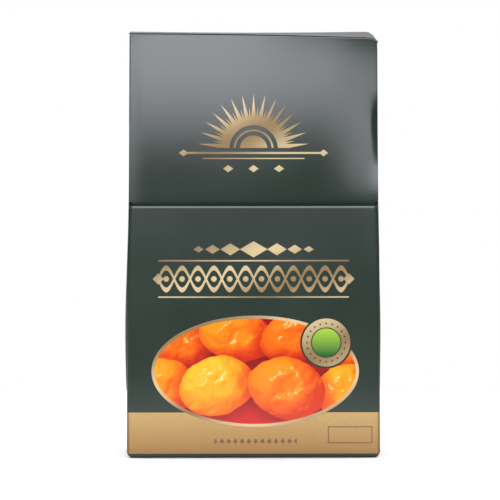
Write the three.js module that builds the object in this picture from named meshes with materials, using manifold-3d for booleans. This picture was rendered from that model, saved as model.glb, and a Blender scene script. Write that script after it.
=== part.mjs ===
// A folding carton of dried apricots, standing on its base. One creased and glued sheet of coated board makes
// a body with a low front wall, a lid creased on the back wall, a long front flap that tucks in behind the
// front wall, and a dust flap under the lid on each side. A filled and sealed pouch stands inside.
// Millimetres, +Z up. The front faces -Y, and the origin is the middle of the base.

import * as THREE from "three";
import { mergeVertices } from "three/addons/utils/BufferGeometryUtils.js";
import Module from "manifold-3d";

const wasm = await Module();
wasm.setup();

// Driving dimensions
const WIDTH = 120; // across the base, outside
const DEPTH = 45; // front wall to back wall, outside
const HEIGHT = 202; // base to the top of the closed lid
const BOARD = 0.6; // thickness of the coated board
const GAP = 0.3; // clearance between boards that lie on each other
const FRONT_HEIGHT = 120; // top edge of the fixed front wall
const TUCK = 18; // reach of the flap behind the front wall
const EDGE_RADIUS = 1.6; // outside radius of the upright folds
const BASE_RADIUS = 1.2; // outside radius of the folds at the base
const TOP_WIDTH_SHARE = 0.98; // width at the lid, as a share of the width at the base
const SIDE_BELLY = 1.2; // how far the contents push each side wall out
const FACE_BELLY = 0.6; // how far they push the front and back walls out
const BELLY_HEIGHT = 0.3 * HEIGHT; // level where the walls stand out most
const BELLY_SPREAD = 0.17 * HEIGHT; // how far above and below it they still do
const LID_SETBACK = 1.5; // how far the lid's front crease lies behind the slot, so that the flap leans back
const FLAP_BOW = 1.4; // how far the tucked flap bows forwards
const SLOT_CORNER = 2; // radius where the front wall's top edge meets the side walls
const TONGUE_CORNER = 9; // radius of the tucked corners
const DUST_REACH = 20; // dust flap from crease to tip
const DUST_SLOPE = 0.9; // cut of its back edge, which the rising lid has to clear
const DUST_TAPER = 0.15; // cut of its front edge
const DUST_CORNER = 2.5; // radius of its tip corners
const LID_CORNER = 1; // radius of the lid's corners

const POUCH = { width: 108, depth: 38, height: 160, back: 0.6 };
const SEAL_SHARE = 0.1; // share of the pouch's height in its flat top seal
const LUMP = { height: 1.6, radius: 12, rows: 5, columns: 5, pitch: 21, jitter: 3 };

// Levels and lines that follow from them
const LID_UNDER = HEIGHT - BOARD;
const BACK_TOP = LID_UNDER - GAP;
const SIDE_TOP = BACK_TOP - BOARD - GAP;
const TOP_HALF_WIDTH = (WIDTH / 2) * TOP_WIDTH_SHARE;
const CREASE_Y = -DEPTH / 2 + BOARD + GAP + BOARD / 2 + LID_SETBACK; // middle of the flap's board at the lid
const FLAP_HALF_WIDTH = TOP_HALF_WIDTH - BOARD - GAP;
const BEYOND = 5; // how far a cutting solid runs past what it cuts

// Fineness of the round and bowed stretches
const ARC_STEPS = 3;
const FACE_PARTS = 6;
const SIDE_PARTS = 4;
const LEVELS = 16;
const MERGE = 1e-4;

const board = (name) =>
  new THREE.MeshStandardMaterial({ name, color: 0x33423a, roughness: 0.38, metalness: 0 });

const film = (name) =>
  new THREE.MeshStandardMaterial({ name, color: 0xd9822b, roughness: 0.25, metalness: 0 });

// A closed geometry as a solid that can be joined and cut
function solid(geometry) {
  const bare = new THREE.BufferGeometry();
  bare.setAttribute("position", geometry.attributes.position);
  bare.setIndex(geometry.index);
  const merged = mergeVertices(bare, MERGE);
  return new wasm.Manifold(
    new wasm.Mesh({
      numProp: 3,
      vertProperties: new Float32Array(merged.attributes.position.array),
      triVerts: new Uint32Array(merged.index.array),
    }),
  );
}

function geometryOf(body) {
  const mesh = body.getMesh();
  const geometry = new THREE.BufferGeometry();
  geometry.setAttribute("position", new THREE.BufferAttribute(mesh.vertProperties, 3));
  geometry.setIndex(new THREE.BufferAttribute(mesh.triVerts, 1));
  geometry.computeVertexNormals();
  return geometry;
}

// Moves every vertex of a geometry to the place that a rule gives for it
function bend(geometry, rule) {
  const position = geometry.attributes.position;
  const point = new THREE.Vector3();
  for (let i = 0; i < position.count; i++) {
    point.fromBufferAttribute(position, i);
    rule(point);
    position.setXYZ(i, point.x, point.y, point.z);
  }
  geometry.computeVertexNormals();
  return geometry;
}

const boxBetween = (low, high) =>
  new THREE.BoxGeometry(high[0] - low[0], high[1] - low[1], high[2] - low[2]).translate(
    (low[0] + high[0]) / 2,
    (low[1] + high[1]) / 2,
    (low[2] + high[2]) / 2,
  );

// The width of the body at a height, as a share of its width at the base
const drawnIn = (z) => 1 - (1 - TOP_WIDTH_SHARE) * (z / HEIGHT);

// Walls lean in towards the lid and belly out where the contents press on them
function swell(point) {
  const press = Math.exp(-(((point.z - BELLY_HEIGHT) / BELLY_SPREAD) ** 2));
  const acrossSide = Math.max(0, 1 - (2 * point.y / DEPTH) ** 2);
  const acrossFace = Math.max(0, 1 - (2 * point.x / WIDTH) ** 2);
  point.x *= drawnIn(point.z) + (2 * SIDE_BELLY / WIDTH) * press * acrossSide;
  point.y *= 1 + (2 * FACE_BELLY / DEPTH) * press * acrossFace;
}

// The carton's plan, inset by a thickness, with round corners and sides divided so that they can belly
function plan(inset) {
  const radius = EDGE_RADIUS - inset;
  const signs = [[1, 1], [-1, 1], [-1, -1], [1, -1]];
  const centres = signs.map(
    ([sx, sy]) => new THREE.Vector2(sx * (WIDTH / 2 - EDGE_RADIUS), sy * (DEPTH / 2 - EDGE_RADIUS)),
  );
  const onArc = (corner, step) => {
    const angle = (corner + step / ARC_STEPS) * (Math.PI / 2);
    const centre = centres[corner];
    return new THREE.Vector2(centre.x + radius * Math.cos(angle), centre.y + radius * Math.sin(angle));
  };
  const points = [];
  for (let corner = 0; corner < centres.length; corner++) {
    for (let step = 0; step <= ARC_STEPS; step++) {
      points.push(onArc(corner, step));
    }
    const from = onArc(corner, ARC_STEPS);
    const to = onArc((corner + 1) % centres.length, 0);
    const parts = corner % 2 === 0 ? FACE_PARTS : SIDE_PARTS;
    for (let part = 1; part < parts; part++) {
      points.push(from.clone().lerp(to, part / parts));
    }
  }
  return new THREE.Shape(points);
}

// A block with the carton's plan and rounded ends, from a floor level to above the lid
function block(inset) {
  const radius = BASE_RADIUS - inset;
  const geometry = new THREE.ExtrudeGeometry(plan(inset), {
    depth: HEIGHT + BEYOND - inset - 2 * radius,
    steps: LEVELS,
    bevelEnabled: true,
    bevelThickness: radius,
    bevelSize: radius,
    bevelOffset: -radius,
    bevelSegments: ARC_STEPS,
  });
  geometry.translate(0, 0, inset + radius);
  return bend(geometry, swell);
}

// The gap in the front above the fixed wall, as a solid that cuts from the front inwards
function frontGap() {
  const low = (WIDTH / 2) * drawnIn(FRONT_HEIGHT) - BOARD;
  const high = TOP_HALF_WIDTH - BOARD;
  const top = HEIGHT + BEYOND;
  const shape = new THREE.Shape();
  shape.moveTo(-low + SLOT_CORNER, FRONT_HEIGHT);
  shape.lineTo(low - SLOT_CORNER, FRONT_HEIGHT);
  shape.quadraticCurveTo(low, FRONT_HEIGHT, low, FRONT_HEIGHT + SLOT_CORNER);
  shape.lineTo(high, top);
  shape.lineTo(-high, top);
  shape.lineTo(-low, FRONT_HEIGHT + SLOT_CORNER);
  shape.quadraticCurveTo(-low, FRONT_HEIGHT, -low + SLOT_CORNER, FRONT_HEIGHT);
  const geometry = new THREE.ExtrudeGeometry(shape, {
    depth: EDGE_RADIUS + BOARD + BEYOND,
    bevelEnabled: false,
    curveSegments: ARC_STEPS,
  });
  return geometry.rotateX(Math.PI / 2).translate(0, -DEPTH / 2 + EDGE_RADIUS + BOARD, 0);
}

// Back, sides, low front wall and base
function cartonBody() {
  const wide = WIDTH / 2 + BEYOND;
  const deep = DEPTH / 2 + BEYOND;
  const high = HEIGHT + 2 * BEYOND;
  const overBack = boxBetween([-wide, -deep, BACK_TOP], [wide, deep, high]);
  const overSides = boxBetween([-wide, -deep, SIDE_TOP], [wide, DEPTH / 2 - EDGE_RADIUS, high]);
  const body = solid(block(0))
    .subtract(solid(block(BOARD)))
    .subtract(solid(frontGap()))
    .subtract(solid(overBack))
    .subtract(solid(overSides));
  return geometryOf(body);
}

// A flat sheet of board cut to an outline with round corners, its lower face at z = 0
function sheet(corners, radius) {
  const shape = new THREE.Shape();
  const count = corners.length;
  for (let i = 0; i < count; i++) {
    const corner = corners[i];
    const before = corners[(i + count - 1) % count].clone().sub(corner).setLength(radius).add(corner);
    const after = corners[(i + 1) % count].clone().sub(corner).setLength(radius).add(corner);
    if (i === 0) {
      shape.moveTo(before.x, before.y);
    } else {
      shape.lineTo(before.x, before.y);
    }
    shape.quadraticCurveTo(corner.x, corner.y, after.x, after.y);
  }
  shape.closePath();
  return new THREE.ExtrudeGeometry(shape, {
    depth: BOARD,
    bevelEnabled: false,
    curveSegments: ARC_STEPS,
  });
}

// From the crease on the back wall to just behind the flap
function lidPanel() {
  const half = TOP_HALF_WIDTH - GAP;
  const front = CREASE_Y + BOARD / 2 + GAP;
  const corners = [
    new THREE.Vector2(-half, front),
    new THREE.Vector2(half, front),
    new THREE.Vector2(half, DEPTH / 2),
    new THREE.Vector2(-half, DEPTH / 2),
  ];
  return sheet(corners, LID_CORNER).translate(0, 0, LID_UNDER);
}

// Part of the front flap between two heights. It leans back and bows forwards above the slot, and runs on
// inwards below it.
function flapBoard(low, high, levels) {
  const geometry = new THREE.BoxGeometry(2 * FLAP_HALF_WIDTH, BOARD, high - low, FACE_PARTS, 1, levels);
  geometry.translate(0, CREASE_Y, (low + high) / 2);
  return bend(geometry, (point) => {
    const share = (HEIGHT - point.z) / (HEIGHT - FRONT_HEIGHT);
    const intoCorner = Math.max(0, FRONT_HEIGHT - TUCK + TONGUE_CORNER - point.z) / TONGUE_CORNER;
    const drawn = TONGUE_CORNER * (1 - Math.sqrt(1 - Math.min(1, intoCorner) ** 2));
    point.x *= 1 - drawn / FLAP_HALF_WIDTH;
    point.y -= LID_SETBACK * Math.min(1, share) + FLAP_BOW * Math.sin(Math.PI * share);
  });
}

// A tapered flap that lies under the lid, creased on a side wall. side is 1 on the right and -1 on the left.
function dustFlap(side) {
  const frontRoot = CREASE_Y + BOARD / 2 + GAP + BOARD;
  const backRoot = DEPTH / 2 - EDGE_RADIUS - BOARD;
  const corners = [
    new THREE.Vector2(0, frontRoot),
    new THREE.Vector2(DUST_REACH, frontRoot + DUST_REACH * DUST_TAPER),
    new THREE.Vector2(DUST_REACH, backRoot - DUST_REACH * DUST_SLOPE),
    new THREE.Vector2(0, backRoot),
  ];
  const crease = (WIDTH / 2) * drawnIn(SIDE_TOP);
  const placed = corners.map(({ x, y }) => new THREE.Vector2(side * (crease - x), y));
  if (side > 0) {
    placed.reverse();
  }
  return sheet(placed, DUST_CORNER).translate(0, 0, SIDE_TOP + GAP);
}

// A repeatable draw between 0 and 1
function seeded(seed) {
  let state = seed;
  return () => {
    state = (state * 16807) % 2147483647;
    return state / 2147483647;
  };
}

// Where pieces of fruit press against one face of the pouch, in staggered rows
function lumpCentres(seed) {
  const draw = seeded(seed);
  const centres = [];
  for (let row = 0; row < LUMP.rows; row++) {
    for (let column = 0; column < LUMP.columns; column++) {
      const offset = column - (LUMP.columns - 1) / 2 + (row % 2) / 2 - 0.25;
      const x = offset * LUMP.pitch + LUMP.jitter * (2 * draw() - 1);
      const z = (row + 1) * LUMP.pitch * 0.9 + LUMP.jitter * (2 * draw() - 1);
      centres.push(new THREE.Vector2(x, z));
    }
  }
  return centres;
}

// A pillow pouch: slumped and full below, flattened to a crimped seal above, with the fruit showing as lumps
function innerPouch() {
  const front = lumpCentres(11);
  const back = lumpCentres(29);
  const smooth = THREE.MathUtils.smoothstep;
  const rounded = (value) => Math.sign(value) * Math.abs(value) ** 0.75;
  const geometry = new THREE.CylinderGeometry(1, 1, 1, 40, 26).rotateX(Math.PI / 2);
  geometry.translate(0, 0, 0.5);
  bend(geometry, (point) => {
    const share = point.z;
    const full = (0.4 + 0.6 * smooth(share, 0, 0.2)) * (1 - smooth(share, 0.45, 1 - SEAL_SHARE));
    const width = (POUCH.width / 2) * (0.86 + 0.1 * smooth(share, 0, 0.15) + 0.04 * smooth(share, 0.6, 0.9));
    const height = BOARD + GAP + share * POUCH.height;
    const x = width * rounded(point.x);
    let lump = 0;
    for (const centre of point.y < 0 ? front : back) {
      const away = Math.hypot(x - centre.x, height - centre.y) / LUMP.radius;
      lump = Math.max(lump, Math.max(0, 1 - away * away) ** 2);
    }
    const thick = (POUCH.depth / 2) * full + LUMP.height * lump * full + BOARD;
    point.set(x, POUCH.back + thick * rounded(point.y), height);
  });
  return geometry;
}

const carton = new THREE.Group();

function place(name, geometry, material) {
  const mesh = new THREE.Mesh(geometry, material);
  mesh.name = name;
  carton.add(mesh);
}

place("carton_body", cartonBody(), board("body board"));
place("lid_panel", lidPanel(), board("lid board"));
place("tuck_flap", flapBoard(FRONT_HEIGHT + GAP, HEIGHT, LEVELS), board("flap board"));
place("tuck_tongue", flapBoard(FRONT_HEIGHT - TUCK, FRONT_HEIGHT, LEVELS / 2), board("tongue board"));
place("dust_flap_left", dustFlap(-1), board("left dust flap board"));
place("dust_flap_right", dustFlap(1), board("right dust flap board"));
place("inner_pouch", innerPouch(), film("pouch film"));

export default carton;
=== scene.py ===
"""The looks of a folding carton of dried apricots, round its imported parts.

+Z is up and the front faces -Y. Shapes and prints are worked out in millimetres, and become metres where a
mesh is made. Lights and the camera are in metres.
"""

import math
import random

import bmesh
import bpy
import numpy as np
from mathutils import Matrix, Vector


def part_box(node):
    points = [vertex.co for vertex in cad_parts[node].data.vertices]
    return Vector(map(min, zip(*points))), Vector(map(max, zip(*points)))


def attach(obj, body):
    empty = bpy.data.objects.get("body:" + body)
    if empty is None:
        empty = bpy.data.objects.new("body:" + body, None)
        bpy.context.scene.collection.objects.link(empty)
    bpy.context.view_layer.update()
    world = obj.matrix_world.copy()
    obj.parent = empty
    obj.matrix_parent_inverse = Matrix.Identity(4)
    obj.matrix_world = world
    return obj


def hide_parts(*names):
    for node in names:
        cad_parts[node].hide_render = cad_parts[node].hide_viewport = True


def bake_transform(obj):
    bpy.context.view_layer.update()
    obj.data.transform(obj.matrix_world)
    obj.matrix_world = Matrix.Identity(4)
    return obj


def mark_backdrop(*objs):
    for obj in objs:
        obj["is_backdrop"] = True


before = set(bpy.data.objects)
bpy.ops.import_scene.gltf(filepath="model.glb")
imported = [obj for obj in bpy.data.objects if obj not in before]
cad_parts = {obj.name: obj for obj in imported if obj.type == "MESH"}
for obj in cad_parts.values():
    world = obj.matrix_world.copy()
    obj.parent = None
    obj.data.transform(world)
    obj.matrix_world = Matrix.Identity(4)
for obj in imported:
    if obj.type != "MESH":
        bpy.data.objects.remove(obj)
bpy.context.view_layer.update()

MM = 0.001


def box_mm(node):
    """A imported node's lowest and highest corners, in millimetres."""
    low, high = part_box(node)
    return low / MM, high / MM


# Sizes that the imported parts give
lid_low, lid_high = box_mm("lid_panel")
tongue_low, tongue_high = box_mm("tuck_tongue")
dust_low, dust_high = box_mm("dust_flap_right")
pouch_low, pouch_high = box_mm("inner_pouch")
HEIGHT = lid_high.z
BOARD = lid_high.z - lid_low.z
BACK = lid_high.y
DEPTH = 2 * BACK
FLAP_HALF = tongue_high.x
SLOT = tongue_high.z
TONGUE_TIP = tongue_low.z
DUST_TOP = dust_high.z
DUST_REACH = dust_high.x - dust_low.x

# Sizes of the carton that part.mjs drives
WIDTH = 120
TOP_WIDTH_SHARE = 0.98
SIDE_BELLY = 1.2
FACE_BELLY = 0.6
BELLY_HEIGHT = 0.3 * HEIGHT
BELLY_SPREAD = 0.17 * HEIGHT
FLAP_BOW = 1.4
TONGUE_CORNER = 9
DUST_SLOPE = 0.9
DUST_TAPER = 0.15
DUST_CORNER = 2.5
GAP = 0.3
CREASE_FACE = lid_low.y - GAP - BOARD
SLOT_FACE = -DEPTH / 2 + BOARD + GAP

# Finer forms that only the looks have
UPRIGHT_FOLD = 1.1
UPPER_DRAW = 0.4
BASE_FOLD = 1.9
BASE_SIDE_FOLD = 3.2
BASE_CORNER = 0.5
TOP_FOLD = 0.8
SIDE_END = 198.8
CORNER_TOP = 200.3
FRONT_TOP = SLOT - 0.5
SLOT_ROLL = 0.16
SLOT_ROLL_REACH = 0.9
SLOT_CREASE = 0.06
SLOT_CREASE_REACH = 0.6
FRONT_LIP = 2.0
LIP_FLATNESS = 0.25
CREASE_REACH = 2.0
FOLD_REACH = 4.0
FOLD_MARGIN = 0.12
EDGE_INSET = 0.3
LEFT_INSET = 0.35
LEFT_INSET_SPAN = (152, 164)
SHOULDER = 1.4
LID_DROP = 0.45
LID_DIP = 0.55
FRONT_SAG = 0.7
RIGHT_SAG = 2.2
CORNER_DROP = 1.8
CORNER_REACH = 3.5
RIGHT_SPAN = (-18, 30)
FAR_RIGHT_SPAN = (27, 56)
LEFT_SPAN = (50, 58)
CREASE_SKEW = 0.95
RIGHT_SKEW = 0.3
LEFT_SKEW = -0.3
RIGHT_TURN = 0.42
RIGHT_TURN_REACH = 6
BOW_SHIFT = 0.05
LEFT_BOW = 0.7
CURL = 1.0
CURL_REACH = 12
CRUSH = 0.14
CRUSH_REACH = 2.5
CRUSH_FROM = 46
EDGE_ROLL = 0.45
EDGE_ROLL_REACH = 4
DENT = 0.72
DENT_LOW, DENT_HIGH, DENT_FADE = 134, 168, 9
DENT_REACH = 7
INK_SHARE = 0.55
CUT_ROUND = 0.3
SIDE_CLEARANCE = 0.15
NEAR = 0.1

# Fineness of the meshes
ARC_STEPS = 6
FACE_PARTS = 48
SIDE_PARTS = 20
FLAP_PARTS = 60
LEVEL_STEP = 2.8
FLAP_STEP = 1.8
LID_PARTS = 14
FOLD_PARTS = 4
TONGUE_PARTS = 15
DUST_PARTS = 13
ROLL_LEVELS = (1.5, 1, 0.7, 0.4, 0.15, 0)
SLOT_LEVELS = (2.6, 2, 1.5, 1.1, 0.8, 0.5, 0.25, 0)

# Slots of a board piece
PRINT, LINER, CORE = range(3)


def smooth(value, low, high):
    share = np.clip((value - low) / (high - low), 0, 1)
    return share * share * (3 - 2 * share)


def srgb(red, green, blue):
    """A colour named as 0 to 255 values, as the linear colour that a shader takes."""
    shares = [value / 255 for value in (red, green, blue)]
    return tuple(s / 12.92 if s <= 0.04045 else ((s + 0.055) / 1.055) ** 2.4 for s in shares)


# Where the board goes


def wall_half(z):
    """Half the width of the body at a height, drawn in towards the lid and where its front is open."""
    tapered = WIDTH / 2 * (1 - (1 - TOP_WIDTH_SHARE) * z / HEIGHT)
    return tapered - UPPER_DRAW * smooth(z, 0.75 * SLOT, 1.1 * SLOT)


def swell(points):
    """The walls lean in towards the lid and belly out where the contents press on them.

    The free top edge of the front wall is pushed forward by the flap that is tucked in behind it.
    """
    x, y, z = points[..., 0], points[..., 1], points[..., 2]
    press = np.exp(-(((z - BELLY_HEIGHT) / BELLY_SPREAD) ** 2))
    across_side = np.maximum(0, 1 - (2 * y / DEPTH) ** 2)
    across_face = np.maximum(0, 1 - (2 * x / WIDTH) ** 2)
    wide = x * (2 / WIDTH) * (wall_half(z) + SIDE_BELLY * press * across_side)
    deep = y * (1 + 2 * FACE_BELLY / DEPTH * press * across_face)
    lip = FRONT_LIP * smooth(z, BELLY_HEIGHT / 2, SLOT + BELLY_HEIGHT / 2) * across_face**LIP_FLATNESS
    in_front = smooth(-y, 0.9 * DEPTH / 2, DEPTH / 2)
    return np.stack([wide, deep - lip * in_front, z], axis=-1)


LID_HALF = wall_half(HEIGHT)


def settle(points):
    """The closed lid has sunk a little, most at its right front corner, and what carries it with it."""
    x, y, z = points[..., 0], points[..., 1], points[..., 2]
    across = 2 * x / WIDTH
    rightness = np.clip((1 + across) / 2, 0, 1) ** 2
    frontness = np.clip((BACK - y) / DEPTH, 0, 1)
    sag = LID_DROP + LID_DIP * (1 - across**2) * (1 - frontness)
    sag = sag + (FRONT_SAG + RIGHT_SAG * rightness) * frontness
    past_edge = np.clip((x - LID_HALF) / CORNER_REACH + 1, 0, 1)
    sag = sag + CORNER_DROP * past_edge**2
    return np.stack([x, y, z - sag * smooth(z, 0.7 * HEIGHT, HEIGHT)], axis=-1)


def forward(x, y, z):
    """How far the lid and its front flap stand forward of a straight strip.

    The flap bows in its middle and is straighter along its edges. Its crease runs out of square and curls
    forward on the right. Its right edge rolls back and is dented, and it turns in where it enters the slot.
    """
    right, far_right, left = smooth(x, *RIGHT_SPAN), smooth(x, *FAR_RIGHT_SPAN), smooth(-x, *LEFT_SPAN)
    to_front = np.clip((BACK - y) / (BACK - CREASE_FACE), 0, 1)
    below = np.maximum(0, HEIGHT - z)
    length = HEIGHT - SLOT
    down = below / length
    skew = CREASE_SKEW * right + (RIGHT_SKEW - CREASE_SKEW) * far_right + LEFT_SKEW * left
    lean = (CREASE_FACE - SLOT_FACE - skew) * np.minimum(1, down)
    bow = FLAP_BOW + (LEFT_BOW - FLAP_BOW) * left
    bow = bow * (np.sin(np.pi * down) + BOW_SHIFT * np.sin(2 * np.pi * down))
    turn = RIGHT_TURN * (down - np.exp(np.minimum(0, below - length) / RIGHT_TURN_REACH))
    curl = CURL * right * np.exp(-below / CURL_REACH)
    curl = curl + CRUSH * smooth(-x, CRUSH_FROM, FLAP_HALF) * np.exp(-below / CRUSH_REACH)
    dented = smooth(z, DENT_LOW - DENT_FADE, DENT_LOW + DENT_FADE)
    dented = dented * (1 - smooth(z, DENT_HIGH - DENT_FADE, DENT_HIGH + DENT_FADE))
    past_half = x - wall_half(z)
    rolled = EDGE_ROLL * smooth(z, DENT_LOW, DENT_HIGH)
    rolled = rolled * np.clip(past_half / EDGE_ROLL_REACH + 1, 0, 1) ** 2
    back = rolled + DENT * dented * np.clip(past_half / DENT_REACH + 1, 0, 1) ** 2
    back = back + SLOT_CREASE * np.exp(-np.maximum(0, z - SLOT) / SLOT_CREASE_REACH)
    on_flap = y < CREASE_FACE + TOP_FOLD
    return (skew + curl) * to_front + np.where(on_flap, lean + bow + (turn - bow) * far_right - back, 0)


def inner_side(outer, closed=False):
    """The other face of a board whose outer face is a grid of points."""
    if closed:
        along = np.roll(outer, -1, axis=0) - np.roll(outer, 1, axis=0)
    else:
        along = np.gradient(outer, axis=0)
    across = np.gradient(outer, axis=1)
    normal = np.cross(along, across)
    normal /= np.linalg.norm(normal, axis=-1, keepdims=True)
    return outer - BOARD * normal


# Meshes


def mesh_object(name, vertices, faces, slots=None):
    """A mesh object from points in millimetres, with no unused points."""
    used = sorted({index for face in faces for index in face})
    renumbered = {old: new for new, old in enumerate(used)}
    mesh = bpy.data.meshes.new(name)
    points = [tuple(vertices[index] * MM) for index in used]
    mesh.from_pydata(points, [], [[renumbered[index] for index in face] for face in faces])
    if slots is not None:
        mesh.polygons.foreach_set("material_index", slots)
    mesh.polygons.foreach_set("use_smooth", [True] * len(faces))
    mesh.set_sharp_from_angle(angle=math.radians(35))
    mesh.update()
    piece = bpy.data.objects.new(name, mesh)
    bpy.context.scene.collection.objects.link(piece)
    return piece


def board_piece(name, outer, inner, present=None, closed=False, joined=(), floor_ring=False):
    """A piece of board from grids of points on its two faces, with cut edges wherever the board ends.

    A cut edge is a little rounded, and the ink is dragged a short way over it. present says which cells of
    the grid hold board. joined names the ends, "start" and "end" of the second axis, where the board runs on
    into another piece and shows no cut edge. floor_ring closes the first ring.
    """
    count, levels = outer.shape[:2]
    cells = count if closed else count - 1
    if present is None:
        present = np.ones((cells, levels - 1), bool)
    total = count * levels
    points = outer.reshape(-1, 3)
    outward = np.zeros_like(points)
    faces = []
    slots = []

    def index(i, j):
        return (i % count) * levels + j

    def held(i, j):
        if closed:
            i %= count
        return 0 <= i < cells and 0 <= j < levels - 1 and present[i, j]

    def runs_on(j):
        return (j < 0 and "start" in joined) or (j >= levels - 1 and "end" in joined)

    for i, j in np.argwhere(present):
        a, b = index(i, j), index(i + 1, j)
        c, d = index(i + 1, j + 1), index(i, j + 1)
        faces += [(a, b, c, d), (total + d, total + c, total + b, total + a)]
        slots += [PRINT, LINER]
        for p, q, beyond in (
            (a, b, (i, j - 1)),
            (b, c, (i + 1, j)),
            (c, d, (i, j + 1)),
            (d, a, (i - 1, j)),
        ):
            at_floor = floor_ring and beyond[1] < 0
            if not held(*beyond) and not runs_on(beyond[1]) and not at_floor:
                under_p, under_q = 2 * total + p, 2 * total + q
                faces += [(q, p, under_p, under_q), (under_q, under_p, total + p, total + q)]
                slots += [PRINT, CORE]
                leaving = (points[p] + points[q]) / 2 - points[[a, b, c, d]].mean(axis=0)
                outward[[p, q]] += leaving / np.linalg.norm(leaving)
    if floor_ring:
        ring = [index(i, 0) for i in range(count)]
        faces += [tuple(reversed(ring)), tuple(total + i for i in ring)]
        slots += [PRINT, LINER]
    reach = np.maximum(np.linalg.norm(outward, axis=-1, keepdims=True), 1)
    inner = inner.reshape(-1, 3)
    under_ink = points + INK_SHARE * (inner - points) + CUT_ROUND * outward / reach
    vertices = np.concatenate([points, inner, under_ink])
    return mesh_object(name, vertices, faces, slots)


def arc(centre, radius, start, stop):
    """Points on an arc, from one angle in degrees to another."""
    turns = np.radians(np.linspace(start, stop, ARC_STEPS + 1))
    return [(centre[0] + radius * math.cos(t), centre[1] + radius * math.sin(t)) for t in turns]


# Body: back, sides, low front wall and base, folded from one sheet


def plan(side_inset, inset):
    """Points round the carton's plan, and the wall or corner that the board follows after each one."""
    radius = UPRIGHT_FOLD + (BASE_CORNER - UPRIGHT_FOLD) * inset / BASE_FOLD
    signs = [(1, 1), (-1, 1), (-1, -1), (1, -1)]
    walls = ["back", "left", "front", "right"]
    half_x = WIDTH / 2 - side_inset - radius
    half_y = DEPTH / 2 - inset - radius
    centres = [(sx * half_x, sy * half_y) for sx, sy in signs]
    points = []
    runs = []
    for corner, wall in enumerate(walls):
        following = (corner + 1) % len(walls)
        turn = arc(centres[corner], radius, 90 * corner, 90 * corner + 90)
        points += turn
        runs += ["front_corner" if "front" in (wall, walls[corner - 1]) else "corner"] * ARC_STEPS
        parts = FACE_PARTS if corner % 2 == 0 else SIDE_PARTS
        target = arc(centres[following], radius, 90 * following, 90 * following + 90)[0]
        share = np.linspace(0, 1, parts + 1)[1:-1, None]
        points += list(np.array(turn[-1]) * (1 - share) + np.array(target) * share)
        runs += [wall] * parts
    return np.array(points, float), runs


def body_levels():
    """Inset of the sides, inset of the front and back, and height of each ring, from the base up."""
    fold = []
    for across, z in arc((BASE_SIDE_FOLD, BASE_SIDE_FOLD), BASE_SIDE_FOLD, 270, 180):
        under = max(0, 1 - z / BASE_FOLD)
        fold.append((across, BASE_FOLD * (1 - math.sqrt(1 - under**2)), z))
    low_wall = np.arange(BASE_SIDE_FOLD + LEVEL_STEP, FRONT_TOP - 2, LEVEL_STEP)
    roll = FRONT_TOP - SLOT_ROLL_REACH * np.array(ROLL_LEVELS)
    high_wall = np.arange(SLOT + LEVEL_STEP, SIDE_END - LEVEL_STEP / 2, LEVEL_STEP)
    ends = [SIDE_END, (SIDE_END + CORNER_TOP) / 2, CORNER_TOP]
    return fold + [(0, 0, z) for z in (*low_wall, *roll, *high_wall, *ends)]


def carton_shell():
    levels = body_levels()
    rings = []
    for side_inset, inset, z in levels:
        points, runs = plan(side_inset, inset)
        rings.append(np.column_stack([points, np.full(len(points), z)]))
    outer = np.stack(rings, axis=1)
    in_front = np.array([run in ("front", "front_corner") for run in runs])
    touches_front = in_front | np.roll(in_front, 1)
    above_slot = outer[..., 2] > FRONT_TOP + NEAR
    for column in np.flatnonzero(touches_front & ~(in_front & np.roll(in_front, 1))):
        x, z = outer[column, above_slot[column], 0], outer[column, above_slot[column], 2]
        flap_back = CREASE_FACE + BOARD - forward(x, np.full_like(x, CREASE_FACE), z)
        outer[column, above_slot[column], 1] = flap_back + SIDE_CLEARANCE
    roll_share = np.clip(1 - (FRONT_TOP - outer[..., 2]) / SLOT_ROLL_REACH, 0, 1)
    roll_share[above_slot] = 0
    outer[..., 1] += SLOT_ROLL * roll_share**2 * touches_front[:, None]
    outer = settle(swell(outer))
    heights = np.array([z for _, _, z in levels])
    below_slot = heights[1:] <= FRONT_TOP + NEAR
    below_end = heights[1:] <= SIDE_END + NEAR
    present = np.zeros((len(runs), len(levels) - 1), bool)
    for i, run in enumerate(runs):
        if run in ("front", "front_corner"):
            present[i] = below_slot
        elif run == "corner":
            present[i] = True
        else:
            present[i] = below_end
    inner = inner_side(outer, closed=True)
    return board_piece("carton_shell", outer, inner, present, closed=True, floor_ring=True)


# Lid, front flap and the creases that carry them: one strip of board, cut into pieces where it turns


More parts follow.
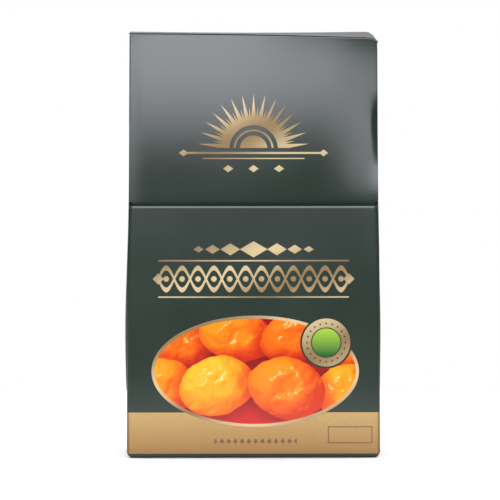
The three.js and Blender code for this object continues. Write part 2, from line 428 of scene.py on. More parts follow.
def lid_profile():
    """Depth, height and half width along the strip, from the back wall over the lid to the tongue's tip."""
    past = TOP_FOLD + FOLD_MARGIN
    back_half = LID_HALF - UPRIGHT_FOLD
    stations = [(BACK, z, back_half) for z in (SIDE_END, HEIGHT - past)]
    rear = arc((BACK - TOP_FOLD, HEIGHT - TOP_FOLD), TOP_FOLD, 0, 90)
    stations += [(y, z, LID_HALF) for y, z in rear]
    lid_end = CREASE_FACE + FOLD_REACH
    near_fold = np.linspace(lid_end, CREASE_FACE + past, FOLD_PARTS + 1)[1:]
    lid_depths = [BACK - past, *np.linspace(BACK - CREASE_REACH, lid_end, LID_PARTS + 1), *near_fold]
    stations += [(y, HEIGHT, LID_HALF) for y in lid_depths]
    front = arc((CREASE_FACE + TOP_FOLD, HEIGHT - TOP_FOLD), TOP_FOLD, 90, 180)
    stations += [(y, z, LID_HALF) for y, z in front]
    flap_levels = [HEIGHT - past, *np.arange(HEIGHT - CREASE_REACH, SLOT + 3, -FLAP_STEP)]
    flap_levels += list(SLOT + np.array(SLOT_LEVELS))
    for z in flap_levels:
        shoulder = SHOULDER * (1 - smooth(z, SLOT + 0.5, SLOT + 2))
        stations.append((CREASE_FACE, z, wall_half(z) - EDGE_INSET - shoulder))
    for z in np.linspace(SLOT, TONGUE_TIP, TONGUE_PARTS + 1)[1:]:
        into_corner = max(0, TONGUE_TIP + TONGUE_CORNER - z) / TONGUE_CORNER
        drawn = TONGUE_CORNER * (1 - math.sqrt(max(0, 1 - into_corner**2)))
        stations.append((CREASE_FACE, z, wall_half(SLOT) - EDGE_INSET - SHOULDER - drawn))
    return np.array(stations)


def lid_and_flap():
    """The four pieces of the strip: back crease, lid, front crease and flap."""
    stations = lid_profile()
    across = np.linspace(1, -1, FLAP_PARTS + 1)
    x = across[:, None] * stations[None, :, 2]
    y = np.broadcast_to(stations[:, 0], x.shape)
    z = np.broadcast_to(stations[:, 1], x.shape)
    drawn_in = smooth(z, *LEFT_INSET_SPAN) * (y < CREASE_FACE + NEAR)
    x = x + LEFT_INSET * np.maximum(0, -across)[:, None] * drawn_in
    outer = settle(np.stack([x, y - forward(x, y, z), z], axis=-1))
    inner = inner_side(outer)
    depths, heights = stations[:, 0], stations[:, 1]
    lid_starts = int(np.argmax(depths <= BACK - CREASE_REACH + NEAR))
    lid_ends = int(np.argmax(depths <= CREASE_FACE + FOLD_REACH + NEAR))
    on_flap = (depths <= CREASE_FACE + NEAR) & (heights <= HEIGHT - CREASE_REACH + NEAR)
    flap_starts = int(np.argmax(on_flap))
    ends = [
        ("back_crease", 0, lid_starts, ("start", "end")),
        ("lid_board", lid_starts, lid_ends, ("start", "end")),
        ("front_crease", lid_ends, flap_starts, ("start", "end")),
        ("flap_board", flap_starts, len(stations) - 1, ("start",)),
    ]
    pieces = []
    for name, first, last, joined in ends:
        part = slice(first, last + 1)
        pieces.append(board_piece(name, outer[:, part], inner[:, part], joined=joined))
    return pieces


# Dust flaps, creased on the side walls under the lid
DUST_ROOT = wall_half(SIDE_END)


def dust_pieces(side, name):
    """The crease and the flap on one side. side is 1 on the right and -1 on the left."""
    wall = DUST_ROOT
    fold_top = arc((wall - TOP_FOLD, DUST_TOP - TOP_FOLD), TOP_FOLD, 0, 90)
    past = TOP_FOLD + FOLD_MARGIN
    stations = [(wall, SIDE_END), (wall, DUST_TOP - past), *fold_top, (wall - past, DUST_TOP)]
    flap_starts = len(stations)
    reaches = np.linspace(CREASE_REACH, DUST_REACH - DUST_CORNER, DUST_PARTS + 1)
    tip = DUST_REACH - DUST_CORNER * (1 - np.sin(np.linspace(0, np.pi / 2, ARC_STEPS + 1)[1:]))
    stations += [(wall - reach, DUST_TOP) for reach in (*reaches, *tip)]
    front_root = lid_low.y + BOARD
    back_root = dust_high.y
    columns = []
    across = np.linspace(0, 1, SIDE_PARTS + 1)
    for x, z in stations:
        reach = max(0, wall - x)
        into_tip = max(0, reach - (DUST_REACH - DUST_CORNER)) / DUST_CORNER
        drawn = DUST_CORNER * (1 - math.sqrt(max(0, 1 - into_tip**2)))
        front = front_root + DUST_TAPER * reach + drawn
        back = back_root - DUST_SLOPE * reach - drawn
        y = front + (back - front) * across
        columns.append(np.column_stack([np.full(len(y), side * x), y, np.full(len(y), z)]))
    outer = np.stack(columns, axis=1)
    if side < 0:
        outer = outer[::-1]
    outer = settle(outer)
    inner = inner_side(outer)
    crease = slice(0, flap_starts + 1)
    flap = slice(flap_starts, None)
    return (
        board_piece(name + "_crease", outer[:, crease], inner[:, crease], joined=("start", "end")),
        board_piece(name + "_board", outer[:, flap], inner[:, flap], joined=("start",)),
    )


# Node arithmetic for the materials


class Field:
    """A number or colour that a material's nodes work out at each point, with ordinary arithmetic."""

    def __init__(self, tree, socket):
        self.tree = tree
        self.socket = socket

    def __add__(self, other):
        return calculate(self.tree, "ADD", self, other)

    def __sub__(self, other):
        return calculate(self.tree, "SUBTRACT", self, other)

    def __rsub__(self, other):
        return calculate(self.tree, "SUBTRACT", other, self)

    def __mul__(self, other):
        return calculate(self.tree, "MULTIPLY", self, other)

    def __truediv__(self, other):
        return calculate(self.tree, "DIVIDE", self, other)

    def __pow__(self, other):
        return calculate(self.tree, "POWER", self, other)

    def __abs__(self):
        return calculate(self.tree, "ABSOLUTE", self)

    __radd__ = __add__
    __rmul__ = __mul__

    def least(self, other):
        return calculate(self.tree, "MINIMUM", self, other)

    def most(self, other):
        return calculate(self.tree, "MAXIMUM", self, other)

    def root(self):
        return calculate(self.tree, "SQRT", self)

    def sine(self):
        return calculate(self.tree, "SINE", self)

    def between(self, low, high):
        """0 at low, 1 at high and held to those outside them."""
        span = high - low
        return calculate(self.tree, "MULTIPLY_ADD", self, 1 / span, -low / span, clamp=True)


def feed(tree, plug, value):
    if isinstance(value, Field):
        tree.links.new(value.socket, plug)
    elif isinstance(value, tuple) and plug.type == "RGBA":
        plug.default_value = (*value, 1)
    else:
        plug.default_value = value


def calculate(tree, operation, *values, clamp=False):
    node = tree.nodes.new("ShaderNodeMath")
    node.operation = operation
    node.use_clamp = clamp
    for plug, value in zip(node.inputs, values):
        feed(tree, plug, value)
    return Field(tree, node.outputs[0])


def lerp(share, under, over):
    """under where share is 0 and over where it is 1."""
    node = share.tree.nodes.new("ShaderNodeMix")
    feed(share.tree, node.inputs[0], share)
    feed(share.tree, node.inputs[2], under)
    feed(share.tree, node.inputs[3], over)
    return Field(share.tree, node.outputs[0])


def paint(share, under, over, way="MIX"):
    """A colour laid over another one, as far as share says."""
    node = share.tree.nodes.new("ShaderNodeMix")
    node.data_type = "RGBA"
    node.blend_type = way
    feed(share.tree, node.inputs[0], share)
    feed(share.tree, node.inputs[6], under)
    feed(share.tree, node.inputs[7], over)
    return Field(share.tree, node.outputs[2])


def ramp(field, *stops):
    """A colour that runs through stops of place and colour as the field grows."""
    node = field.tree.nodes.new("ShaderNodeValToRGB")
    elements = node.color_ramp.elements
    while len(elements) < len(stops):
        elements.new(0.5)
    for element, (place, colour) in zip(elements, stops):
        element.position = place
        element.color = (*colour, 1)
    feed(field.tree, node.inputs[0], field)
    return Field(field.tree, node.outputs[0])


def combine(x, y, z):
    tree = next(part.tree for part in (x, y, z) if isinstance(part, Field))
    node = tree.nodes.new("ShaderNodeCombineXYZ")
    for plug, value in zip(node.inputs, (x, y, z)):
        feed(tree, plug, value)
    return Field(tree, node.outputs[0])


def noise(place, scale, detail=2.0, distortion=0.0, roughness=0.5):
    """Soft random values about 0.5, with features 1 / scale millimetres across."""
    node = place.tree.nodes.new("ShaderNodeTexNoise")
    feed(place.tree, node.inputs["Vector"], place)
    node.inputs["Scale"].default_value = scale
    node.inputs["Detail"].default_value = detail
    node.inputs["Roughness"].default_value = roughness
    node.inputs["Distortion"].default_value = distortion
    return Field(place.tree, node.outputs[0])


def new_material(name):
    """An empty material with its shader, its place in millimetres and that place's three parts."""
    material = bpy.data.materials.new(name)
    material.use_nodes = True
    tree = material.node_tree
    shader = tree.nodes["Principled BSDF"]
    coordinates = tree.nodes.new("ShaderNodeTexCoord")
    scale = tree.nodes.new("ShaderNodeVectorMath")
    scale.operation = "SCALE"
    scale.inputs["Scale"].default_value = 1 / MM
    tree.links.new(coordinates.outputs["Object"], scale.inputs[0])
    place = Field(tree, scale.outputs[0])
    split = tree.nodes.new("ShaderNodeSeparateXYZ")
    feed(tree, split.inputs[0], place)
    return material, shader, place, [Field(tree, plug) for plug in split.outputs]


def relief(shader, height):
    """Raises the surface by a height in millimetres, in its shading."""
    bump = height.tree.nodes.new("ShaderNodeBump")
    bump.inputs["Distance"].default_value = MM
    feed(height.tree, bump.inputs["Height"], height)
    height.tree.links.new(bump.outputs[0], shader.inputs["Normal"])


# Distances to printed shapes, below zero inside them


def inside(distance, soft=0.18):
    """1 inside a shape and 0 outside it, with an edge as soft as printed ink."""
    return calculate(distance.tree, "MULTIPLY_ADD", distance, -1 / soft, 0.5, clamp=True)


def disc(x, z, radius):
    return (x * x + z * z).root() - radius


def ellipse(x, z, half_x, half_z):
    u, v = x / half_x, z / half_z
    reach = (u * u + v * v).root()
    slope = ((u / half_x) ** 2 + (v / half_z) ** 2).root()
    return reach * (reach - 1) / slope


def bar(x, z, half_x, half_z):
    return (abs(x) - half_x).most(abs(z) - half_z)


def lozenge(x, z, half_x, half_z):
    return (abs(x) / half_x + abs(z) / half_z - 1) * (half_x * half_z / math.hypot(half_x, half_z))


def outline(distance, half_width):
    return abs(distance) - half_width


# The print, in millimetres across from the middle and up from the base
BAND_LOW, BAND_HIGH = 2.1, 21.7
PICTURE_X, PICTURE_Z = 0.8, 41.2
PICTURE_HALF = (49, 26.4)
PICTURE_RULE = 0.7
SEAL_X, SEAL_Z, SEAL_RADIUS = 34.3, 54.8, 11.4
SUN_Z = 146
RIBBON_Z = 85
BEAD_X, BEAD_Z = 1, 8
BEAD_PITCH, BEAD_ROW_HALF = 1.6, 19.5
PANEL_X, PANEL_Z = 45.7, 11
SIDE_FRAME_HALF, BACK_FRAME_HALF = 16, 52
FRAME_RISE, FRAME_RULE = 80, 0.35

# Colours of the print
GREEN = srgb(31, 45, 36)
GOLD_PALE = srgb(186, 168, 124)
GOLD_DEEP = srgb(122, 97, 54)
BAND_TOP = srgb(180, 150, 92)
BAND_BOTTOM = srgb(145, 109, 55)
BROWN_INK = srgb(74, 54, 30)
SEAL_LIGHT = srgb(150, 190, 60)
SEAL_DARK = srgb(30, 92, 44)
CUT_BOARD = srgb(214, 212, 204)

# Where the left and lower edges of the flap have lost their ink
BARE_TOP = (166, 174)
BARE_ABOVE_SLOT = 6

# Fruit in the picture: place from its middle, half length, half width, turn in degrees and ripeness
FRUITS = [
    (-34, 13, 17, 12, 24, 0.10),
    (41, 11, 15, 12, -32, 0.30),
    (-9, 17, 18, 12, -12, 0.32),
    (19, 16, 17, 12, 16, 0.08),
    (-42, -7, 14, 13, -24, 0.42),
    (42, -9, 14, 12, 28, 0.55),
    (-18, -7, 18, 14, 14, 0.80),
    (15, -8, 18.5, 14.5, -16, 0.24),
]


def sun_motif(x, z):
    """A half sun over a rule: rays of two lengths, arcs and a row of lozenges."""
    up = z - SUN_Z
    reach = (x * x + up * up).root()
    turn = calculate(x.tree, "ARCTAN2", x, up)
    rays = None
    for count, start, stop, width in ((15, 11.5, 26, 1.5), (15, 11.5, 20, 0.8)):
        pitch = 2 * math.pi / (2 * count)
        phase = 0 if rays is None else pitch / 2
        away = calculate(x.tree, "PINGPONG", turn + phase, pitch / 2)
        taper = reach.between(stop, start) * width
        ray = (away * reach - taper).most(start - reach).most(reach - stop)
        rays = ray if rays is None else rays.least(ray)
    arcs = outline(reach - 9, 0.45).least(reach - 6.6)
    above = (rays.least(arcs)).most(0.8 - up)
    rule = bar(x, up + 1.6, 33, 0.45).least(bar(x, up + 4.2, 24, 0.25))
    beads = lozenge(calculate(x.tree, "PINGPONG", x, 6), up + 9, 2.4, 1.7).most(abs(x) - 21)
    ends = lozenge(abs(x) - 33, up + 1.6, 2.2, 1.6)
    return above.least(rule).least(beads).least(ends)


def ribbon_motif(x, z):
    """A plaited band with a stud in each eye, under a row of lozenges that grow towards the middle."""
    up = z - RIBBON_Z
    wave = (x * (math.pi / 7.5)).sine() * 5.2
    strands = (abs(up - wave) - 1.15).least(abs(up + wave) - 1.15)
    studs = disc(calculate(x.tree, "PINGPONG", x + 3.75, 3.75), up, 1.3)
    band = strands.least(studs).most(abs(x) - 45)
    ends = lozenge(abs(x) - 45, up, 2.6, 2.6)
    rules = bar(x, abs(up) - 8.6, 45, 0.3)
    over = up - 14
    row = lozenge(x, over, 6.5, 3.8)
    for place, half in ((11, 4.6), (19.4, 3.4), (26, 2.4)):
        row = row.least(lozenge(abs(x) - place, over, half, half * 0.62))
    return band.least(ends).least(rules).least(row)


def seal_motif(x, z):
    """Distance to the gold of a plain round seal and to its enamelled middle, and the height in it."""
    dx, dz = x - SEAL_X, z - SEAL_Z
    reach = (dx * dx + dz * dz).root()
    turn = calculate(x.tree, "ARCTAN2", dx, dz)
    bead_pitch = math.pi / 20
    away = calculate(x.tree, "PINGPONG", turn, bead_pitch) * 9.1
    beads = ((away * away) + (reach - 9.1) * (reach - 9.1)).root() - 0.42
    gold = (reach - SEAL_RADIUS).most(7.2 - reach).most(beads * -1)
    return gold, reach - 6.7, dz


def fruit_picture(x, z):
    """A heap of dried apricots as a printed picture, lit from the upper left."""
    wobble = (noise(combine(x, 0, z), 0.09, 2) - 0.5) * 3
    across, up = x - PICTURE_X + wobble, z - PICTURE_Z - wobble
    lean_x = lean_z = ripe = cover = 0.0
    reach = glow = 1.0
    for middle_x, middle_z, long, wide, degrees, ripeness in FRUITS:
        turn = math.radians(degrees)
        size = math.sqrt(long * wide)
        dx, dz = across - middle_x, up - middle_z
        u = dx * (math.cos(turn) / long) + dz * (math.sin(turn) / long)
        v = dz * (math.cos(turn) / wide) - dx * (math.sin(turn) / wide)
        away = u * u + v * v
        hit = away.between(1.03, 0.97)
        near = away.between(1.8, 0.9)
        lean_x, lean_z = lerp(hit, lean_x, dx / size), lerp(hit, lean_z, dz / size)
        reach, ripe = lerp(hit, reach, away), lerp(hit, ripe, ripeness)
        glow, cover = lerp(hit, glow * (1 - near * 0.6), 1.0), lerp(hit, cover, 1.0)

    def skin_height(step_x, step_z):
        spot = combine(x + step_x, ripe * 40, z + step_z)
        return noise(spot, 0.13, 1, 0.6) * 2.2 + noise(spot, 0.42, 2, 0.6) * 0.4

    step = 0.35
    level_height = skin_height(0, 0)
    slope_x = (skin_height(step, 0) - level_height) / step
    slope_z = (skin_height(0, step) - level_height) / step
    dished = 1 - reach.between(0.3, 0) * 1.5
    outward = (1.02 - reach).most(0.02).root()
    normal = (lean_x * dished * 0.9 - slope_x, lean_z * dished * 0.9 - slope_z, outward)
    length = (normal[0] * normal[0] + normal[1] * normal[1] + normal[2] * normal[2]).root()
    lit = (normal[0] * -0.4 + normal[1] * 0.5 + normal[2] * 0.77) / length
    shine = (normal[0] * -0.21 + normal[1] * 0.27 + normal[2] * 0.94) / length
    level = (lit.most(0) * 0.55 + ripe * 0.5 + 0.1) * (glow * 0.8 + 0.2)
    skin = ramp(
        level,
        (0.0, srgb(120, 10, 0)),
        (0.2, srgb(192, 40, 0)),
        (0.4, srgb(214, 76, 0)),
        (0.6, srgb(224, 106, 2)),
        (0.8, srgb(232, 142, 8)),
        (1.0, srgb(240, 176, 36)),
    )
    gleam = shine.between(0.985, 0.999) * glow
    skin = paint(gleam * 0.75, skin, srgb(252, 214, 140))
    return paint(cover, ramp(glow, (0.0, srgb(96, 2, 2)), (1.0, srgb(188, 16, 8))), skin)


def printed_board():
    """Dark satin board with a gold band, gold foil ornaments with a painted reflection swept across them,
    and a picture on the front wall.
    """
    material, shader, place, (x, y, z) = new_material("printed board")
    on_front = y.between(-DEPTH / 2 + 0.35, -DEPTH / 2 + 0.3)
    on_flap = z.between(SLOT, SLOT + 0.2) * y.between(-15, -16)
    on_upright = z.between(HEIGHT - 3, HEIGHT - 3.4)
    grain = noise(place, 3.2, 3, 0, 0.7)
    streaks = noise(combine(x, y, z * 0.02), 0.9, 2)
    cloud = noise(place, 0.035, 2)
    wall_z = abs(z - (BAND_HIGH + HEIGHT) / 2 - 2)

    picture_edge = ellipse(x - PICTURE_X, z - PICTURE_Z, *PICTURE_HALF)
    seal_gold, seal_middle, seal_up = seal_motif(x, z)
    seal_plate = disc(x - SEAL_X, z - SEAL_Z, SEAL_RADIUS + 0.9)
    rim = outline(picture_edge + PICTURE_RULE, PICTURE_RULE)
    front_foil = inside(rim.most(seal_plate * -1).least(seal_gold).least(ribbon_motif(x, z))) * on_front
    flap_foil = inside(sun_motif(x, z)) * on_flap
    side_rules = outline((abs(y) - SIDE_FRAME_HALF).most(wall_z - FRAME_RISE), FRAME_RULE)
    side_rules = side_rules.most(54 - abs(x))
    back_rules = outline((abs(x) - BACK_FRAME_HALF).most(wall_z - FRAME_RISE), FRAME_RULE).most(20 - y)
    other_foil = inside(side_rules.least(back_rules)) * on_upright
    foil = front_foil.most(flap_foil).most(other_foil)
    picture = inside(picture_edge) * on_front
    band = inside(abs(z - (BAND_LOW + BAND_HIGH) / 2) - (BAND_HIGH - BAND_LOW) / 2) * (1 - picture)

    dark_green, light_green = (tuple(part * share for part in GREEN) for share in (0.94, 1.08))
    green = paint(cloud.between(0.3, 0.7), dark_green, light_green)
    band_colour = paint(z.between(BAND_LOW, BAND_HIGH), BAND_BOTTOM, BAND_TOP)
    band_colour = paint(grain.between(0.35, 0.75) * 0.5, band_colour, BROWN_INK, "OVERLAY")
    along = x - BEAD_X
    row = lozenge(calculate(x.tree, "PINGPONG", along, BEAD_PITCH), z - BEAD_Z, 1.1, 1.3)
    row = row.most(abs(along) - BEAD_ROW_HALF)
    panel = outline(bar(x - PANEL_X, z - PANEL_Z, 9.5, 3) - 0.8, 0.25)
    band_ink = inside(row.least(panel)) * on_front
    band_colour = paint(band_ink * 0.85, band_colour, BROWN_INK)
    # Painted reflection: the foil's gold runs from pale to deep in broad diagonal waves, standing in for the
    # lights mirrored in it.
    painted_foil_reflection = (x * 0.075 - z * 0.16 + cloud * 2).sine().between(-1, 1)
    foil_colour = paint(painted_foil_reflection, GOLD_PALE, GOLD_DEEP)

    colour = paint(band, green, band_colour)
    colour = paint(picture, colour, fruit_picture(x, z))
    colour = paint(inside(seal_plate) * on_front, colour, GREEN)
    enamel = paint(seal_up.between(-6, 6), SEAL_DARK, SEAL_LIGHT)
    colour = paint(inside(seal_middle) * on_front, colour, enamel)
    colour = paint(foil, colour, foil_colour)

    top_fold = ((y - CREASE_FACE) ** 2 + (z - HEIGHT + 0.4) ** 2).root().between(1.1, 0.4)
    to_upright = (abs(x) - WIDTH / 2 + 0.6) ** 2 + (abs(y) - DEPTH / 2 + 0.3) ** 2
    upright = to_upright.root().between(1.0, 0.3)
    scuffs = noise(place, 0.55, 4, 0, 0.7)
    wear = (scuffs + top_fold * 0.1 + upright * 0.06).between(0.76, 0.80) * top_fold.most(upright)
    colour = paint(upright * band * 0.5, colour, BROWN_INK)
    colour = paint(wear * 0.8, colour, CUT_BOARD)

    gold = band.most(foil)
    metal = (band * (1 - band_ink) * 0.35).most(foil * 0.3) * (1 - wear)
    roughness = 0.11 + cloud * 0.05 + grain * 0.03 + streaks * 0.03 + gold * 0.25 + wear * 0.3
    feed(colour.tree, shader.inputs["Base Color"], colour)
    feed(metal.tree, shader.inputs["Metallic"], metal)
    feed(roughness.tree, shader.inputs["Roughness"], roughness)
    relief(shader, grain * 0.0022 + foil * 0.012 + cloud * 0.03)
    return material


def plain_board():
    """The inside of the board: unprinted grey-white liner with short fibres."""
    material, shader, place, (x, y, z) = new_material("plain board")
    fibres = noise(combine(x * 0.6, y * 0.6, z * 2.4), 1.1, 4, 1.2, 0.65)
    mottle = noise(place, 0.12, 3)
    colour = paint(fibres.between(0.35, 0.7), srgb(206, 202, 192), srgb(226, 223, 214))
    colour = paint(mottle.between(0.3, 0.8) * 0.3, colour, srgb(190, 184, 170))
    feed(fibres.tree, shader.inputs["Base Color"], colour)
    feed(fibres.tree, shader.inputs["Roughness"], 0.72 + fibres * 0.2)
    relief(shader, fibres * 0.02)
    return material


def cut_edge():
    """The edge of the board where it was cut: a pale core, covered in places with dark green that is partly
    ink dragged over it and partly painted shade.
    """
    material, shader, place, (x, y, z) = new_material("cut board edge")
    fibres = noise(place, 2.2, 3)
    ink_and_shade_noise = noise(combine(x * 0.05, y * 0.05, z), 0.09, 3)
    at_top = z.between(*BARE_TOP) * x.between(0, -10)
    by_slot = abs(z - SLOT - BARE_ABOVE_SLOT).between(5, 3)
    colour = paint(fibres.between(0.3, 0.7), srgb(176, 174, 166), CUT_BOARD)
    # Dark green over the pale core: partly ink dragged over the cut, partly painted shade on the edge. The
    # core is left bare near the top and above the slot.
    ink_and_painted_shade = (ink_and_shade_noise - at_top.most(by_slot) * 0.3).between(0.34, 0.4)
    colour = paint(ink_and_painted_shade * 0.85, colour, GREEN)
    feed(fibres.tree, shader.inputs["Base Color"], colour)
    feed(fibres.tree, shader.inputs["Roughness"], 0.6 + fibres * 0.3)
    relief(shader, fibres * 0.03)
    return material


def clear_film():
    """Thin clear plastic film, a little hazy where it is creased."""
    material, shader, place, _ = new_material("clear film")
    creases = noise(place, 0.07, 4, 1.8)
    colour = paint(creases, srgb(244, 236, 222), srgb(255, 250, 240))
    feed(creases.tree, shader.inputs["Base Color"], colour)
    feed(creases.tree, shader.inputs["Roughness"], 0.08 + creases * 0.14)
    shader.inputs["Alpha"].default_value = 0.16
    relief(shader, creases * 0.9)
    return material


def apricot_skin():
    """Dried apricot: amber to rust, waxy and finely wrinkled."""
    material, shader, place, _ = new_material("dried apricot skin")
    patches = noise(place, 0.06, 3, 0.6)
    wrinkles = noise(place, 0.35, 4, 1.1)
    colour = ramp(
        patches * 0.75 + wrinkles * 0.25,
        (0.3, srgb(176, 66, 14)),
        (0.5, srgb(224, 112, 22)),
        (0.7, srgb(240, 156, 48)),
    )
    feed(wrinkles.tree, shader.inputs["Base Color"], colour)
    feed(wrinkles.tree, shader.inputs["Roughness"], 0.34 + wrinkles * 0.2)
    shader.inputs["Subsurface Weight"].default_value = 0.25
    shader.inputs["Subsurface Radius"].default_value = (0.004, 0.0016, 0.0006)
    relief(shader, wrinkles * 0.6)
    return material


def floor_paper():
    """White paper with a faint tooth."""
    material, shader, place, _ = new_material("floor")
    tooth = noise(place, 0.5, 2)
    colour = paint(tooth, srgb(244, 244, 244), srgb(250, 250, 250))
    feed(tooth.tree, shader.inputs["Base Color"], colour)
    shader.inputs["Roughness"].default_value = 0.9
    shader.inputs["Specular IOR Level"].default_value = 0.1
    return material


# Contents: a sealed pouch of film with the fruit in it
SEAL_SHARE = 0.1
CRIMP_PITCH = 1.6
CRIMP_HEIGHT = 0.25
FRUIT_ROWS, FRUIT_COLUMNS = 5, 4
FRUIT_FIRST, FRUIT_RISE, FRUIT_PITCH = 13, 21, 25
FRUIT_MARGIN = 17


def pouch_half_sizes(share):
    """Half width and half thickness of the filled pouch at a share of its height."""
    half_width = (pouch_high.x - pouch_low.x) / 2
    half_depth = (pouch_high.y - pouch_low.y) / 2
    full = (0.4 + 0.6 * smooth(share, 0, 0.2)) * (1 - smooth(share, 0.45, 1 - SEAL_SHARE))
    width = half_width * (0.86 + 0.1 * smooth(share, 0, 0.15) + 0.04 * smooth(share, 0.6, 0.9))
    return width, half_depth * full + BOARD


def pouch_film():
    around = np.linspace(0, 2 * np.pi, 96, endpoint=False)
    body = np.linspace(0, 1 - SEAL_SHARE, 60)
    crimps = np.linspace(1 - SEAL_SHARE, 1, 61)[1:]
    share = np.concatenate([body, crimps])[None, :]
    width, thick = pouch_half_sizes(share)

    def rounded(value):
        return np.sign(value) * np.abs(value) ** 0.75

    height = pouch_high.z - pouch_low.z
    x = width * rounded(np.cos(around))[:, None]
    z = pouch_low.z + share * height + 0 * x
    ridge = CRIMP_HEIGHT * np.sin(2 * np.pi * z / CRIMP_PITCH) * smooth(share, 1 - SEAL_SHARE, 0.93)
    crumple = np.sin(0.31 * x + 0.17 * z) * np.sin(0.23 * z - 0.11 * x + 1.3)
    crumple = crumple + 0.5 * np.sin(0.7 * x - 0.4 * z)
    slack = 0.7 * crumple * smooth(share, 0.05, 0.2) * (1 - smooth(share, 0.8, 0.9))
    middle = (pouch_high.y + pouch_low.y) / 2
    y = middle + (thick * 0.95 + slack) * rounded(np.sin(around))[:, None] + ridge
    points = np.stack([x, y, z], axis=-1)
    count, levels = points.shape[:2]
    faces = []
    for i in range(count):
        for j in range(levels - 1):
            k = (i + 1) % count
            faces.append((i * levels + j, k * levels + j, k * levels + j + 1, i * levels + j + 1))
    faces.append(tuple(i * levels for i in reversed(range(count))))
    faces.append(tuple(i * levels + levels - 1 for i in range(count)))
    return mesh_object("pouch_film", points.reshape(-1, 3), faces)


def dried_apricots():
    """Flattened, wrinkled halves in staggered rows and two layers, filling the lower pouch."""
    draw = random.Random(7)
    ball = bmesh.new()
    bmesh.ops.create_icosphere(ball, subdivisions=4, radius=1)
    unit = np.array([vertex.co for vertex in ball.verts])
    triangles = [[vertex.index for vertex in face.verts] for face in ball.faces]
    ball.free()
    height = pouch_high.z - pouch_low.z
    vertices = []
    faces = []
    for row in range(FRUIT_ROWS):
        for column in range(FRUIT_COLUMNS):
            for layer in (-1, 1):
                z = pouch_low.z + FRUIT_FIRST + FRUIT_RISE * row + draw.uniform(-2, 2)
                half_width, half_depth = pouch_half_sizes((z - pouch_low.z) / height)
                x = (column - 1.5 + (row % 2) * 0.3 - 0.15) * FRUIT_PITCH + draw.uniform(-2, 2)
                x = max(-half_width + FRUIT_MARGIN, min(half_width - FRUIT_MARGIN, x))
                long, wide = draw.uniform(14, 17), draw.uniform(11, 14)
                thick = min(7.5, 0.42 * half_depth)
                phases = [draw.uniform(0, 2 * math.pi) for _ in range(4)]
                wrinkle = (
                    0.07 * np.sin(5 * unit[:, 0] + 3 * unit[:, 1] + phases[0])
                    + 0.06 * np.sin(7 * unit[:, 1] - 4 * unit[:, 2] + phases[1])
                    + 0.04 * np.sin(11 * unit[:, 0] - 6 * unit[:, 2] + phases[2])
                    + 0.03 * np.sin(17 * unit[:, 1] + 9 * unit[:, 0] + phases[3])
                )
                outer_side = unit[:, 2] * layer > 0
                dent = 0.45 * np.exp(-4 * (unit[:, 0] ** 2 + unit[:, 1] ** 2)) * outer_side
                shaped = unit * (1 + wrinkle)[:, None] * [long, wide, thick]
                shaped[:, 2] *= 1 - dent
                turn = draw.uniform(0, math.pi)
                across = shaped[:, 0] * math.cos(turn) - shaped[:, 1] * math.sin(turn)
                up = shaped[:, 0] * math.sin(turn) + shaped[:, 1] * math.cos(turn)
                depth = shaped[:, 2] + layer * 0.5 * half_depth
                first = len(vertices) * len(unit)
                height_in_pouch = np.maximum(z + up, pouch_low.z + 0.5)
                vertices.append(np.column_stack([x + across, depth, height_in_pouch]))
                faces += [[first + index for index in face] for face in triangles]
    return mesh_object("dried_apricots", np.concatenate(vertices), faces)


# Dress the frame
boards = [printed_board(), plain_board(), cut_edge()]


def dress(piece, slot, *materials):
    for material in materials:
        piece.data.materials.append(material)
    return piece


shell = dress(carton_shell(), "printed_board", *boards)
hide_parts("carton_body")
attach(shell, "carton")

back_crease, lid_board, front_crease, flap_board = lid_and_flap()
for piece in (back_crease, lid_board, front_crease, flap_board):
    dress(piece, "printed_board", *boards)
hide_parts("lid_panel")
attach(lid_board, "lid")
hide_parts("tuck_flap", "tuck_tongue")
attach(flap_board, "flap")
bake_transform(back_crease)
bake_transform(front_crease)

for side, name, body in ((-1, "left_dust", "dust_left"), (1, "right_dust", "dust_right")):
    crease, flap = dust_pieces(side, name)
    dress(crease, "plain_board", *boards)
    dress(flap, "plain_board", *boards)
    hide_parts("dust_flap_left" if side < 0 else "dust_flap_right")
    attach(flap, body)
    wall = side * DUST_ROOT
    inward = side * (DUST_ROOT - CREASE_REACH)
    wall * MM
    inward * MM
    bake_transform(crease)

film = dress(pouch_film(), "pouch_film", clear_film())
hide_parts("inner_pouch")
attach(film, "carton")
fruit = dress(dried_apricots(), "pouch_film", apricot_skin())
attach(fruit, "carton")

# Studio, with lights and camera in metres and the floor in millimetres
KEY_Y, KEY_WIDTH = -2.2, 1.8
KEY_LOW, KEY_FULL, KEY_HIGH = 0.02, 0.5, 1.35
KEY_STEPS = 10
KEY_RADIANCE = 7.2
KEY_FADE = 0.45
KEY_TINT = (0.99, 0.97, 1.06)
FLOOR_FRONT, FLOOR_BACK, FLOOR_SIDE = -300, 350, 1100


def studio_floor():
    left, right, front, back = -FLOOR_SIDE, FLOOR_SIDE, FLOOR_FRONT, FLOOR_BACK
    points = np.array([(left, front, 0), (right, front, 0), (right, back, 0), (left, back, 0)], float)
    floor = mesh_object("floor", points, [(0, 1, 2, 3)])
    floor.data.materials.append(floor_paper())
    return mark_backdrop(floor)


def aim(thing, target):
    direction = Vector(target) - thing.location
    thing.rotation_euler = direction.to_track_quat("-Z", "Y").to_euler()


def softbox(name, location, target, size, radiance, tint=(1, 1, 1)):
    """An area light in metres, as bright as radiance says whatever its size."""
    data = bpy.data.lights.new(name, "AREA")
    data.shape = "RECTANGLE"
    data.size, data.size_y = size
    data.color = tint
    data.energy = radiance * math.pi * size[0] * size[1]
    lamp = bpy.data.objects.new(name, data)
    bpy.context.scene.collection.objects.link(lamp)
    lamp.location = location
    lamp.visible_camera = False
    aim(lamp, target)
    return lamp


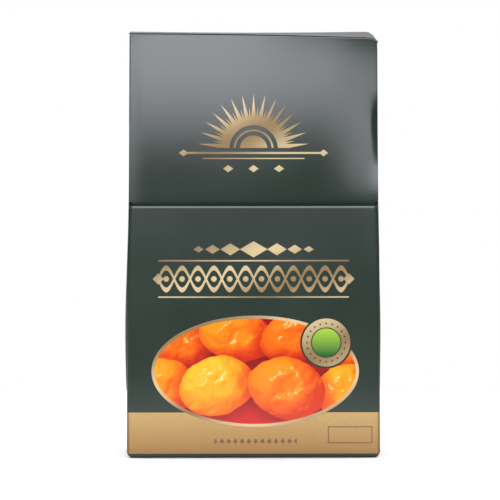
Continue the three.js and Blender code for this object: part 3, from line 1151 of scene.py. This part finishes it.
def key_light():
    """A wide softbox behind the camera, which fades out towards its lower edge."""
    step = (KEY_FULL - KEY_LOW) / KEY_STEPS
    shares = [((i + 0.5) / KEY_STEPS) ** KEY_FADE for i in range(KEY_STEPS)]
    levels = [(KEY_LOW + i * step, step, KEY_RADIANCE * share) for i, share in enumerate(shares)]
    levels.append((KEY_FULL, KEY_HIGH - KEY_FULL, KEY_RADIANCE))
    for i, (low, height, radiance) in enumerate(levels):
        z = low + height / 2
        softbox(f"key_{i}", (0, KEY_Y, z), (0, 0, z), (KEY_WIDTH, height), radiance, KEY_TINT)


def studio_world(ambient):
    """White behind the object, and a dim room for light and reflections."""
    world = bpy.data.worlds.new("studio")
    world.use_nodes = True
    tree = world.node_tree
    output = tree.nodes["World Output"]
    room = tree.nodes["Background"]
    room.inputs["Color"].default_value = (1, 1, 1, 1)
    room.inputs["Strength"].default_value = ambient
    backdrop = tree.nodes.new("ShaderNodeBackground")
    backdrop.inputs["Color"].default_value = (1, 1, 1, 1)
    backdrop.inputs["Strength"].default_value = 1
    path = tree.nodes.new("ShaderNodeLightPath")
    choose = tree.nodes.new("ShaderNodeMixShader")
    tree.links.new(path.outputs["Is Camera Ray"], choose.inputs[0])
    tree.links.new(room.outputs[0], choose.inputs[1])
    tree.links.new(backdrop.outputs[0], choose.inputs[2])
    tree.links.new(choose.outputs[0], output.inputs["Surface"])
    bpy.context.scene.world = world


CAMERA_PLACE = (-0.036, -2.0, 0.205)
CAMERA_TARGET = (-0.0013, 0, 0.0974)
FRAME_WIDTH = 0.2356


def studio_camera():
    data = bpy.data.cameras.new("camera")
    camera = bpy.data.objects.new("camera", data)
    bpy.context.scene.collection.objects.link(camera)
    camera.location = CAMERA_PLACE
    aim(camera, CAMERA_TARGET)
    to_front = -DEPTH / 2 * MM - CAMERA_PLACE[1]
    data.sensor_width = 36
    data.lens = data.sensor_width * to_front / FRAME_WIDTH
    data.clip_end = 20
    bpy.context.scene.camera = camera


studio_floor()
middle = (0, 0, HEIGHT / 2 * MM)
key_light()
for side in (-1, 1):
    softbox(f"overhead_{side}", (side * 1.05, 0.1, 1.7), middle, (1.2, 1.8), 4.4)
softbox("card", (0, -1.7, 0), (0, -1.7, 1), (2.4, 0.9), 0.1)
softbox("left", (-1.7, 0.3, 0.7), middle, (0.9, 1.2), 2.0)
softbox("right", (1.7, 0.3, 0.7), middle, (0.9, 1.2), 2.0)
softbox("rear", (0, 1.9, 1.3), middle, (1.4, 0.8), 4.0)
softbox("horizon", (0, 2.6, 0.35), (0, 0, 0.35), (3.0, 0.7), 0.3, KEY_TINT)
studio_world(0.1)
studio_camera()
bpy.context.scene.view_settings.view_transform = "Standard"
